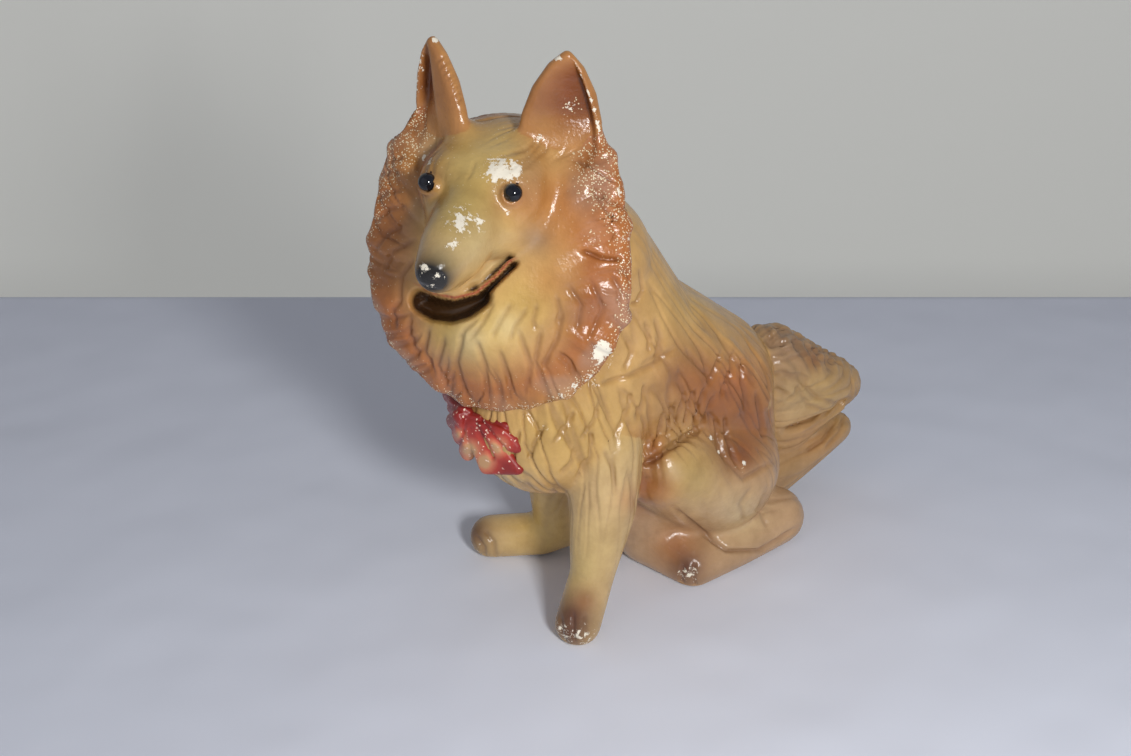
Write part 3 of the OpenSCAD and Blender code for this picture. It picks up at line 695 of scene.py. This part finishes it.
creases = [
    (head_only, False, [(path, 2.7, 1.2) for path in ruff_creases]),
    (head_only, False, [(path, 2.4, 1.0) for path in throat_creases]),
    (torso_only, True, [(path, 2.2, 1.7) for path in flank_creases]),
    (None, True, [(path, 2.4, 1.3) for path in chest_creases]),
    (head_only, False, [([(598, 206), (612, 226), (620, 242)], 9.0, -2.4),
        ([(584, 165), (604, 177), (620, 190)], 7.0, -2.0), ([(581, 251), (600, 257), (621, 260)], 2.0, 3.0),
        ([(598, 191), (611, 203), (625, 208)], 1.8, 2.4), ([(572, 160), (595, 170), (616, 184)], 1.8, 1.6),
        ([(592, 187), (605, 208), (618, 222)], 2.6, 1.5)]),
    (None, False, [([(640, 270), (643, 290), (636, 303), (628, 304)], 1.6, 1.5)]),
    (head_only, False, [([(475, 161), (472, 170), (467, 180)], 1.6, 0.5)]),
    (torso_only, True, [([(599, 384), (630, 375), (652, 365), (674, 348)], 2.4, 1.3),
        ([(655, 335), (662, 352), (640, 366)], 2.2, 0.8),
        ([(673, 508), (700, 531), (728, 550), (760, 552), (777, 542), (797, 528)], 2.4, 2.2),
        ([(642, 452), (667, 434), (686, 422), (702, 411)], 9.0, -1.6), (fringe, 3.0, 3.0),
        ([(715, 440), (730, 464), (744, 479), (773, 462)], 2.6, 1.2),
        ([(752, 488), (741, 505), (745, 525)], 2.4, 0.9),
        ([(768, 492), (759, 510), (768, 528)], 2.4, 0.9)]),
    (tail_only, False, [([(784, 432), (808, 424), (833, 414), (850, 401)], 3.0, 5.0),
        ([(800, 380), (815, 397), (835, 404), (850, 400)], 2.2, 1.2),
        ([(795, 385), (808, 405), (826, 412)], 2.0, 0.9), ([(808, 330), (818, 348), (817, 368)], 4.0, 1.4),
        ([(791, 318), (800, 336), (800, 354)], 4.0, 1.2), ([(775, 316), (783, 332), (784, 348)], 3.8, 1.2),
        ([(827, 340), (834, 356), (829, 374)], 4.0, 1.2), ([(762, 320), (770, 334), (772, 348)], 3.4, 1.0),
        ([(836, 420), (824, 440), (806, 452)], 2.4, 1.4),
        ([(846, 412), (840, 432), (826, 448)], 2.0, 1.0)]),
    (legs_only, False, [([(475, 535), (484, 548), (484, 560)], 2.4, 1.2),
        ([(484, 530), (494, 542), (496, 558)], 2.4, 1.0), ([(560, 615), (561, 634), (566, 643)], 2.2, 1.2),
        ([(573, 612), (573, 632), (575, 645)], 2.2, 1.2),
        ([(585, 614), (586, 630), (586, 641)], 2.2, 1.2)]),
    (torso_only, False, [([(683, 565), (680, 578), (683, 590)], 2.2, 1.2),
        ([(695, 563), (694, 577), (695, 590)], 2.2, 1.2)]),
    (None, False, [([(436 + 3.2 * i, 62 + 6 * i), (446 + 3 * i, 55 + 6 * i)], 1.5, 0.6) for i in range(8)])]
plume_middle = (102, 58)
flute_deep, flutes = 1.3, 28
around = np.arctan2(points[:, 2] - plume_middle[1], points[:, 1] - plume_middle[0])
from_middle = np.hypot(points[:, 2] - plume_middle[1], points[:, 1] - plume_middle[0])
fluted = tail_only * np.clip((from_middle - 20) / 14, 0, 1) * np.clip((points[:, 2] - 60) / 12, 0, 1)
carve(-flute_deep * fluted * (0.5 - 0.5 * np.cos(flutes * around + 0.06 * points[:, 0])))
for where, both_sides, group in creases:
    for path, width, depth in group:
        mark = stroke(path, width, where, both_sides)
        carve(-depth * mark)
        # Painted shade: each crease is also darkened along its line, more the deeper it is
        painted_crease_shade = np.maximum(painted_crease_shade, mark * max(0, min(1, depth / 1.6)))

# Paint: a base for each casting, then airbrushed spots [x, y, radius in pixels, colour, strength]; a few
# spots are painted light and shade, noted where they stand
paints = {"tan": "#C59C60", "cream": "#CDB486", "olive": "#B7A05C", "pale": "#C2B184", "orange": "#B98044",
          "brown": "#884A22", "rust": "#A86230", "mauve": "#AE9280", "yellow": "#C9A759", "umber": "#5E3A2A",
          "smoke": "#8E7562", "lip": "#A8402C", "ink": "#1D1B1A", "peach": "#C98A55", "shade": "#6B4636",
          "chestnut": "#6E3A12", "pit": "#2E150B", "straw": "#DCC791", "khaki": "#D2B570"}
paints = {name: np.array(srgb(code)[:3]) for name, code in paints.items()}
coat = np.tile(paints["tan"], (count, 1))


def tint(amount, colour):
    global coat
    coat = coat + np.clip(amount, 0, 1)[:, None] * (paints[colour] - coat)


wander = relax(rng.standard_normal(count), 300)
wander /= wander.std()
ruff_part = head_only * np.clip((ruff_out - 30) / 16, 0, 1) * (1 - behind_ruff)
tint(ruff_part * 0.9, "rust")
tint(ruff_part * np.clip(wander * 0.3, 0, 0.4), "mauve")
tint(np.clip((95 - points[:, 2]) / 60, 0, 1) * torso_only * 0.5, "mauve")
tint(relax(legs_only, 60) * 0.6, "cream")
tint(relax(tail_only, 40) * 0.4, "smoke")
spots = [
    (head_only, False, [(470, 180, 55, "olive", 0.8), (455, 215, 26, "olive", 0.6),
        (440, 260, 24, "pale", 0.7), (480, 250, 30, "pale", 0.6), (540, 200, 30, "orange", 0.5),
        (560, 225, 26, "orange", 0.6), (535, 240, 14, "smoke", 0.6), (555, 160, 24, "tan", 0.7),
        (450, 330, 22, "yellow", 0.9), (490, 325, 26, "yellow", 0.9), (525, 300, 26, "yellow", 0.7),
        (550, 280, 22, "orange", 0.6), (585, 300, 22, "brown", 0.35), (440, 400, 20, "brown", 0.3),
        (400, 250, 24, "brown", 0.35), (412, 320, 20, "brown", 0.3), (511, 195, 16, "brown", 0.6),
        (428, 186, 13, "brown", 0.5), (511, 195, 9, "peach", 0.9), (428, 185, 8, "peach", 0.9),
        (500, 115, 16, "smoke", 0.4)]),
    (torso_only, True, [(690, 380, 36, "brown", 0.75), (735, 380, 34, "rust", 0.9),
        (755, 420, 32, "brown", 0.8), (740, 455, 22, "brown", 0.9), (715, 410, 26, "brown", 0.7),
        (725, 340, 26, "tan", 0.6), (655, 425, 20, "brown", 0.4), (655, 450, 12, "rust", 0.8),
        # Painted highlight: the small cream spot at (674, 472) is the gloss on the haunch
        (690, 480, 30, "olive", 0.55), (674, 472, 9, "cream", 0.8), (740, 515, 26, "cream", 0.7),
        (660, 490, 20, "rust", 0.5), (676, 548, 22, "rust", 0.6), (688, 568, 20, "umber", 0.95),
        (640, 440, 14, "rust", 0.5)]),
    (None, True, [(600, 430, 50, "yellow", 0.3)]),
    (None, False, [(545, 440, 40, "yellow", 0.4)]),
    (torso_only, False, [(500, 480, 26, "pale", 0.5)]),
    # Painted light: the orange spot at (390, 262) lightens the ruff's far side where it lies in shade
    (head_only, False, [(500, 135, 34, "khaki", 0.75), (468, 158, 26, "khaki", 0.6),
        (470, 338, 17, "straw", 0.75), (505, 325, 16, "straw", 0.6), (390, 262, 26, "orange", 0.6)]),
    (None, False, [(545, 120, 14, "khaki", 0.6)]),
    (torso_only, True, [(640, 300, 30, "tan", 0.6), (690, 300, 30, "yellow", 0.35)]),
    (None, False, [(630, 500, 14, "rust", 0.4)]),
    # Painted shade: brown in the recess between the flank's fringe and the thigh, where the fringe's shadow
    # falls
    (torso_only, True, [(640, 488, 20, "brown", 0.75), (650, 462, 12, "brown", 0.7)]),
    (legs_only, False, [(580, 570, 24, "olive", 0.45), (572, 616, 23, "umber", 0.95),
        (570, 634, 18, "umber", 0.9), (585, 600, 12, "brown", 0.5), (600, 540, 24, "olive", 0.25),
        (474, 532, 21, "umber", 0.85), (540, 530, 34, "yellow", 0.7)]),
    (tail_only, False, [(790, 345, 34, "smoke", 0.5), (815, 360, 12, "brown", 0.5),
        (820, 400, 30, "yellow", 0.4), (800, 410, 24, "cream", 0.5), (815, 435, 26, "orange", 0.5)])]
for where, both_sides, group in spots:
    for x, y, radius, colour, strength in group:
        tint(strength * patch(x, y, radius, where, both_sides), colour)
for node in ("left_ear", "right_ear"):
    tint(is_node[node] * 0.5, "rust")
tint(np.clip(0.35 + hollow, 0, 1) * ear_high, "brown")
tint(0.8 * hollow * ear_high ** 2, "chestnut")
# Painted shadow: the hollow under the jaw is painted near black for the shadow that the jaw casts there
tint(np.clip(4 * jaw_hollow - 0.7, 0, 0.94), "pit")
# Painted shade: creases and the valleys between the locks are darkened towards a dark brown
tint(painted_crease_shade * 0.42, "shade")
tint(stroke(mouth, 1.3, head_only) * 0.95, "lip")
nose = np.exp(-((np.array(face_frame @ Vector((0, -46, -3))) - points) ** 2).sum(1) / 80)
tint(nose * 1.6 * head_only, "ink")

# Wear: bare plaster where the paint has chipped, and specks of glitter
chips = [(499, 170, 15, 0.9), (515, 167, 11, 0.85), (460, 222, 16, 0.68), (478, 222, 10, 0.62),
         (452, 246, 9, 0.62), (424, 268, 7, 0.68), (438, 276, 7, 0.6), (432, 287, 8, 0.55),
         (427, 158, 7, 0.7), (602, 352, 12, 1.0), (590, 380, 7, 0.62), (575, 388, 7, 0.55),
         (560, 394, 7, 0.55), (436, 40, 5, 0.85), (558, 57, 5, 0.8), (563, 634, 16, 0.5),
         (583, 636, 13, 0.5), (690, 574, 12, 0.56), (473, 555, 10, 0.5), (620, 192, 7, 0.5),
         (624, 236, 6, 0.5), (569, 112, 6, 0.6), (541, 136, 5, 0.55), (508, 214, 3, 0.7),
         (712, 437, 3, 0.7), (744, 463, 3, 0.8), (721, 450, 4, 0.6)]
bare = 0.56 * ear_rim
for x, y, radius, strength in chips:
    bare = np.maximum(bare, strength * patch(x, y, radius))
top_angle = (np.degrees(np.arctan2(ruff_z, ruff_x)) - 90) % 360
edge_out = np.interp(top_angle, [0, 40, 320, 360], [80, 56, 56, 80])
edge = np.clip((ruff_out - edge_out + 2) / 4, 0, 1) * head_only * (1 - behind_ruff)
glitter = 0.47 + 0.28 * relax(edge, 3) + 0.06 * ruff_part
sparkles = [(425, 175, 14, 0.64), (602, 190, 18, 0.7), (592, 236, 15, 0.74), (545, 430, 14, 0.68),
            (480, 75, 30, 0.6), (570, 110, 26, 0.66), (690, 430, 24, 0.6), (740, 470, 16, 0.62)]
for x, y, radius, strength in sparkles:
    glitter = np.maximum(glitter, strength * patch(x, y, radius))

for name, values in (("bare", bare), ("glitter", glitter)):
    layer = skin.attributes.new(name, "FLOAT", "POINT")
    layer.data.foreach_set("value", np.clip(values, 0, 1).astype(np.float32))
layer = skin.attributes.new("coat", "FLOAT_COLOR", "POINT")
layer.data.foreach_set("color", np.concatenate([coat, np.ones((count, 1))], 1).astype(np.float32).ravel())

# Painted plaster: the airbrushed coat, chipped to bare plaster, under a semi-gloss lacquer that gives
# small bright glints. The pattern sizes are real ones, and the flecks are drawn coarse enough to show.
mottle_mm, chip_edge_mm, fleck_mm, grain_mm = 16.7, 2.63, 2 / 3, 1.43
material, tree, place, surface = new_material("painted_plaster")
coat_colour = add(tree, "ShaderNodeAttribute", attribute_name="coat").outputs["Color"]
bare_mask = add(tree, "ShaderNodeAttribute", attribute_name="bare").outputs["Fac"]
glitter_mask = add(tree, "ShaderNodeAttribute", attribute_name="glitter").outputs["Fac"]
cloudy = add(tree, "ShaderNodeTexNoise", [("Vector", place), ("Scale", 1 / (mottle_mm * MM)), ("Detail", 5.0),
                                          ("Roughness", 0.6)])
shade = add(tree, "ShaderNodeValToRGB", [("Fac", cloudy.outputs["Fac"])],
            stops=[(0.3, (0.82, 0.78, 0.74, 1)), (0.7, (1.12, 1.12, 1.12, 1))])
toned = add(tree, "ShaderNodeMix", [("Factor", 1.0), ("A", coat_colour), ("B", shade.outputs["Color"])],
            data_type="RGBA", blend_type="MULTIPLY")
ragged = add(tree, "ShaderNodeTexNoise", [("Vector", place), ("Scale", 1 / (chip_edge_mm * MM)),
                                          ("Detail", 6.0), ("Roughness", 0.75)])
ragged = add(tree, "ShaderNodeMapRange", [("Value", ragged.outputs["Fac"]), ("From Min", 0.3),
                                          ("From Max", 0.7)])
chip = add(tree, "ShaderNodeMath", [(0, bare_mask), (1, ragged.outputs[0])], operation="ADD")
chip = add(tree, "ShaderNodeMapRange", [("Value", chip.outputs[0]), ("From Min", 1.0), ("From Max", 1.06)])
cells = add(tree, "ShaderNodeTexVoronoi", [("Vector", place), ("Scale", 1 / (fleck_mm * MM))])
speck = add(tree, "ShaderNodeMapRange", [("Value", cells.outputs["Distance"]), ("From Min", 0.55),
                                         ("From Max", 0.35)])
cell_hue = add(tree, "ShaderNodeSeparateXYZ", [("Vector", cells.outputs["Color"])])
fleck = add(tree, "ShaderNodeMath", [(0, glitter_mask), (1, cell_hue.outputs["X"])], operation="ADD")
fleck = add(tree, "ShaderNodeMapRange", [("Value", fleck.outputs[0]), ("From Min", 1.5), ("From Max", 1.56)])
fleck = add(tree, "ShaderNodeMath", [(0, fleck.outputs[0]), (1, speck.outputs[0])], operation="MULTIPLY")
flecked = add(tree, "ShaderNodeMix", [("Factor", fleck.outputs[0]), ("A", toned.outputs["Result"]),
                                      ("B", srgb("#E9DDB8"))], data_type="RGBA")
chipped = add(tree, "ShaderNodeMix", [("Factor", chip.outputs[0]), ("A", flecked.outputs["Result"]),
                                      ("B", srgb("#EFE6D2"))], data_type="RGBA")
rough = add(tree, "ShaderNodeMapRange", [("Value", chip.outputs[0]), ("To Min", 0.24), ("To Max", 0.85)])
grain = add(tree, "ShaderNodeTexNoise", [("Vector", place), ("Scale", 1 / (grain_mm * MM)), ("Detail", 3.0)])
relief = add(tree, "ShaderNodeMath", [(0, chip.outputs[0]), (1, -0.6)], operation="MULTIPLY")
relief = add(tree, "ShaderNodeMath", [(0, relief.outputs[0]), (1, grain.outputs["Fac"])], operation="ADD")
bump = add(tree, "ShaderNodeBump", [("Height", relief.outputs[0]), ("Strength", 0.35), ("Distance", 0.0006)])
feed(surface, [("Base Color", chipped.outputs["Result"]), ("Roughness", rough.outputs[0]),
               ("Normal", bump.outputs["Normal"])])

# The skin is cut into one closed piece for each casting, in metres. At a cut the edge is turned
# in and closed inside, and the pieces keep the skin's own normals, so that no joint shows.
lip = 2.5
most_faces = 95000


def smoothed(part, verts, rounds):
    """Draws points of a part towards their neighbours, round after round."""
    for _ in range(rounds):
        bmesh.ops.smooth_vert(part, verts=verts, factor=0.5,
                              use_axis_x=True, use_axis_y=True, use_axis_z=True)


points *= MM
facing = normals()
lies = skin.attributes.new("lies", "FLOAT_VECTOR", "POINT")
lies.data.foreach_set("vector", facing.astype(np.float32).ravel())
corners = np.empty(len(skin.loops), np.int32)
skin.loops.foreach_get("vertex_index", corners)
starts = np.empty(len(skin.polygons), np.int32)
skin.polygons.foreach_get("loop_start", starts)
face_label = label[corners[starts]]
marks = skin.attributes.new("casting", "INT", "FACE")
marks.data.foreach_set("value", face_label.astype(np.int32))
for i, node in enumerate(nodes):
    part = bmesh.new()
    part.from_mesh(skin)
    layer = part.faces.layers.int["casting"]
    bmesh.ops.delete(part, geom=[f for f in part.faces if f[layer] != i], context="FACES")
    part.faces.layers.int.remove(part.faces.layers.int["casting"])
    part.normal_update()
    edge = bmesh.ops.extrude_edge_only(part, edges=[e for e in part.edges if e.is_boundary])
    edge = [v for v in edge["geom"] if isinstance(v, bmesh.types.BMVert)]
    turned_in = set(edge)
    for v in edge:
        outer = [e.other_vert(v) for e in v.link_edges if e.other_vert(v) not in turned_in]
        v.co -= outer[0].normal * lip * MM
    smoothed(part, edge, 12)
    bmesh.ops.holes_fill(part, edges=[e for e in part.edges if e.is_boundary])
    bmesh.ops.recalc_face_normals(part, faces=part.faces[:])
    for f in part.faces:
        f.smooth = True
    name = node.replace("_casting", "") + "_coat"
    mesh = bpy.data.meshes.new(name)
    part.to_mesh(mesh)
    part.free()
    if len(mesh.polygons) > most_faces:
        mesh = modified(mesh, "DECIMATE", ratio=most_faces / len(mesh.polygons))
        mesh.name = name
    normal = np.empty(len(mesh.vertices) * 3, np.float32)
    mesh.attributes["lies"].data.foreach_get("vector", normal)
    normal = normal.reshape(-1, 3)
    mesh.normals_split_custom_set_from_vertices(normal / np.linalg.norm(normal, axis=1)[:, None])
    mesh.attributes.remove(mesh.attributes["lies"])
    mesh.materials.append(material)
    piece = placed(name, mesh)
    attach(piece, "root")
    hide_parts(node)

# Bow: red ribbon cast with the chest in plaster of Paris, with two loops, a knot and two tails,
# painted red and airbrushed to salmon below. The same lacquer gives it small glints.
bow_voxel = 0.6
bow_balls = {"knot": [(-4, -99, 113, 5), (-3, -97, 108, 4.5)],
             "far_loop": [(-8, -98, 114, 3.5), (-30, -90, 121, 4), (-33, -88, 112, 3.5),
                          (-20, -93, 108, 3.5)],
             "near_loop": [(0, -97, 112, 3), (16, -91, 112, 3.5), (21, -88, 104, 3), (12, -93, 105, 3)],
             "far_tail": [(-7, -98, 108, 4), (-23, -91, 99, 4), (-10, -93, 88, 3.5), (-4, -96, 98, 4)],
             "near_tail": [(-2, -97, 108, 3), (4, -93, 87, 3), (20, -87, 92, 3), (12, -92, 104, 3)]}
for balls in bow_balls.values():
    clay("bow", balls)
mesh = bpy.data.meshes.new("bow_clay")
mesh = bpy.data.meshes.new("bow_clay")
forms["bow"].to_mesh(mesh)
mesh = modified(mesh, "REMESH", mode="VOXEL", voxel_size=bow_voxel)
part = bmesh.new()
part.from_mesh(mesh)
smoothed(part, part.verts[:], 5)
bow_folds = [([(458, 398), (445, 392), (432, 386)], 1.2), ([(468, 414), (455, 408), (440, 402)], 1.0),
             ([(466, 420), (462, 436), (454, 452)], 1.3), ([(474, 424), (483, 441), (492, 458)], 1.6),
             ([(480, 420), (492, 436), (504, 450)], 1.3), ([(484, 416), (498, 424), (512, 432)], 1.3),
             ([(462, 416), (470, 420), (480, 420)], 1.2), ([(452, 424), (448, 436), (452, 446)], 0.8)]
fold_width_px = 2.2
salmon_spots = [(470, 450, 16), (498, 446, 14), (460, 436, 10), (484, 462, 14)]
part.normal_update()
bow_spots = pixels(np.array([v.co for v in part.verts]))[0]
salmon_less_fold_shade = np.zeros(len(bow_spots))
for x, y, radius in salmon_spots:
    salmon_less_fold_shade = np.maximum(salmon_less_fold_shade, np.exp(-(((bow_spots - (x, y)) ** 2).sum(1) / radius ** 2)))
# Painted shade: each fold is carved in and its salmon is halved along it, so the folds show a deeper red
for fold, depth in bow_folds:
    sunk = np.exp(-(along(fold, bow_spots)[0] / fold_width_px) ** 2)
    salmon_less_fold_shade *= 1 - 0.5 * sunk
    for v, amount in zip(part.verts, sunk):
        v.co -= v.normal * depth * amount
smoothed(part, part.verts[:], 2)
# The salmon layer carries the salmon airbrushing, lessened in the folds as painted shade
tone_layer = part.verts.layers.float.new("salmon")
for v, value in zip(part.verts, salmon_less_fold_shade):
    v[tone_layer] = value
    v.co *= MM
for f in part.faces:
    f.smooth = True
part.to_mesh(mesh)
mesh.name = "bow_ribbon"
ribbon_cloud_mm, ribbon_fleck_mm = 11.1, 5 / 6
material, tree, place, surface = new_material("red_painted_plaster")
salmon = add(tree, "ShaderNodeAttribute", attribute_name="salmon").outputs["Fac"]
cloudy = add(tree, "ShaderNodeTexNoise", [("Vector", place), ("Scale", 1 / (ribbon_cloud_mm * MM)),
                                          ("Detail", 4.0)]).outputs["Fac"]
drift = add(tree, "ShaderNodeMath", [(0, cloudy), (1, 0.5)], operation="MULTIPLY")
fade = add(tree, "ShaderNodeMath", [(0, salmon), (1, drift.outputs[0])], operation="ADD")
faded = add(tree, "ShaderNodeMapRange", [("Value", fade.outputs[0]), ("From Min", 0.3), ("From Max", 1.2)])
tone = add(tree, "ShaderNodeValToRGB", [("Fac", faded.outputs[0])], stops=[
    (0.0, srgb("#8F231E")), (0.4, srgb("#B23A2C")), (0.8, srgb("#CF7A58")), (1.0, srgb("#C99A6C"))])
cells = add(tree, "ShaderNodeTexVoronoi", [("Vector", place), ("Scale", 1 / (ribbon_fleck_mm * MM))])
hue = add(tree, "ShaderNodeSeparateXYZ", [("Vector", cells.outputs["Color"])])
fleck = add(tree, "ShaderNodeMapRange", [("Value", hue.outputs["X"]), ("From Min", 0.96), ("From Max", 0.98)])
mixed = add(tree, "ShaderNodeMix", [("Factor", fleck.outputs[0]), ("A", tone.outputs["Color"]),
                                    ("B", srgb("#F0D2BC"))], data_type="RGBA")
bump = add(tree, "ShaderNodeBump", [("Height", cloudy), ("Strength", 0.3), ("Distance", 0.0006)])
feed(surface, [
    ("Base Color", mixed.outputs["Result"]), ("Roughness", 0.38), ("Normal", bump.outputs["Normal"])])
mesh.materials.append(material)
piece = placed("bow_ribbon", mesh)
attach(piece, "root")
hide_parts("bow")

# Eyes: dark glass beads on wire stems, the CAD's own spheres, set in the plaster sockets.
# Pressed glass, smooth and glossy, so that it gives one sharp glint on bluish black.
swirl_mm = 10 / 3


def dressed(node, material):
    """Gives a CAD node this material alone."""
    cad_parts[node].data.materials.clear()
    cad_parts[node].data.materials.append(material)


material, tree, place, surface = new_material("eye_glass")
cloudy = add(tree, "ShaderNodeTexNoise", [("Vector", place), ("Scale", 1 / (swirl_mm * MM)), ("Detail", 2.0)])
tone = add(tree, "ShaderNodeValToRGB", [("Fac", cloudy.outputs["Fac"])],
           stops=[(0.3, srgb("#07080C")), (0.7, srgb("#141722"))])
feed(surface, [("Base Color", tone.outputs["Color"]), ("Roughness", 0.08)])
for node in ("left_eye", "right_eye"):
    dressed(node, material)

# Armature wires: drawn iron, laid in the mould before the plaster was poured.
# Damp plaster has rusted them, so they look dull grey with brown blotches.
rust_mm = 20 / 9
material, tree, place, surface = new_material("rusted_iron_wire")
rust = add(tree, "ShaderNodeTexNoise", [("Vector", place), ("Scale", 1 / (rust_mm * MM)),
                                        ("Detail", 5.0)]).outputs["Fac"]
tone = add(tree, "ShaderNodeValToRGB", [("Fac", rust)],
           stops=[(0.35, srgb("#3B3734")), (0.6, srgb("#6B3F26"))])
dull = add(tree, "ShaderNodeMapRange", [("Value", rust), ("To Min", 0.4), ("To Max", 0.9)])
bump = add(tree, "ShaderNodeBump", [("Height", rust), ("Strength", 0.4), ("Distance", 0.0003)])
feed(surface, [
    ("Base Color", tone.outputs["Color"]), ("Roughness", dull.outputs[0]), ("Normal", bump.outputs["Normal"]),
    ("Metallic", 0.8)])
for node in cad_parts:
    if node.endswith("_wire"):
        dressed(node, material)

# Plug in the pour hole: plaster of Paris, troweled flush under the seat once the shell had drained.
# It is unpainted, so it looks matt, chalky and slightly uneven.
chalk_mm = 6.25
material, tree, place, surface = new_material("bare_plaster")
chalk = add(tree, "ShaderNodeTexNoise", [("Vector", place), ("Scale", 1 / (chalk_mm * MM)),
                                         ("Detail", 6.0)]).outputs["Fac"]
tone = add(tree, "ShaderNodeValToRGB", [("Fac", chalk)],
           stops=[(0.3, srgb("#CFC3AA")), (0.7, srgb("#E9E0CC"))])
bump = add(tree, "ShaderNodeBump", [("Height", chalk), ("Strength", 0.5), ("Distance", 0.0005)])
feed(surface, [
    ("Base Color", tone.outputs["Color"]), ("Roughness", 0.9), ("Normal", bump.outputs["Normal"])])
dressed("base_plug", material)
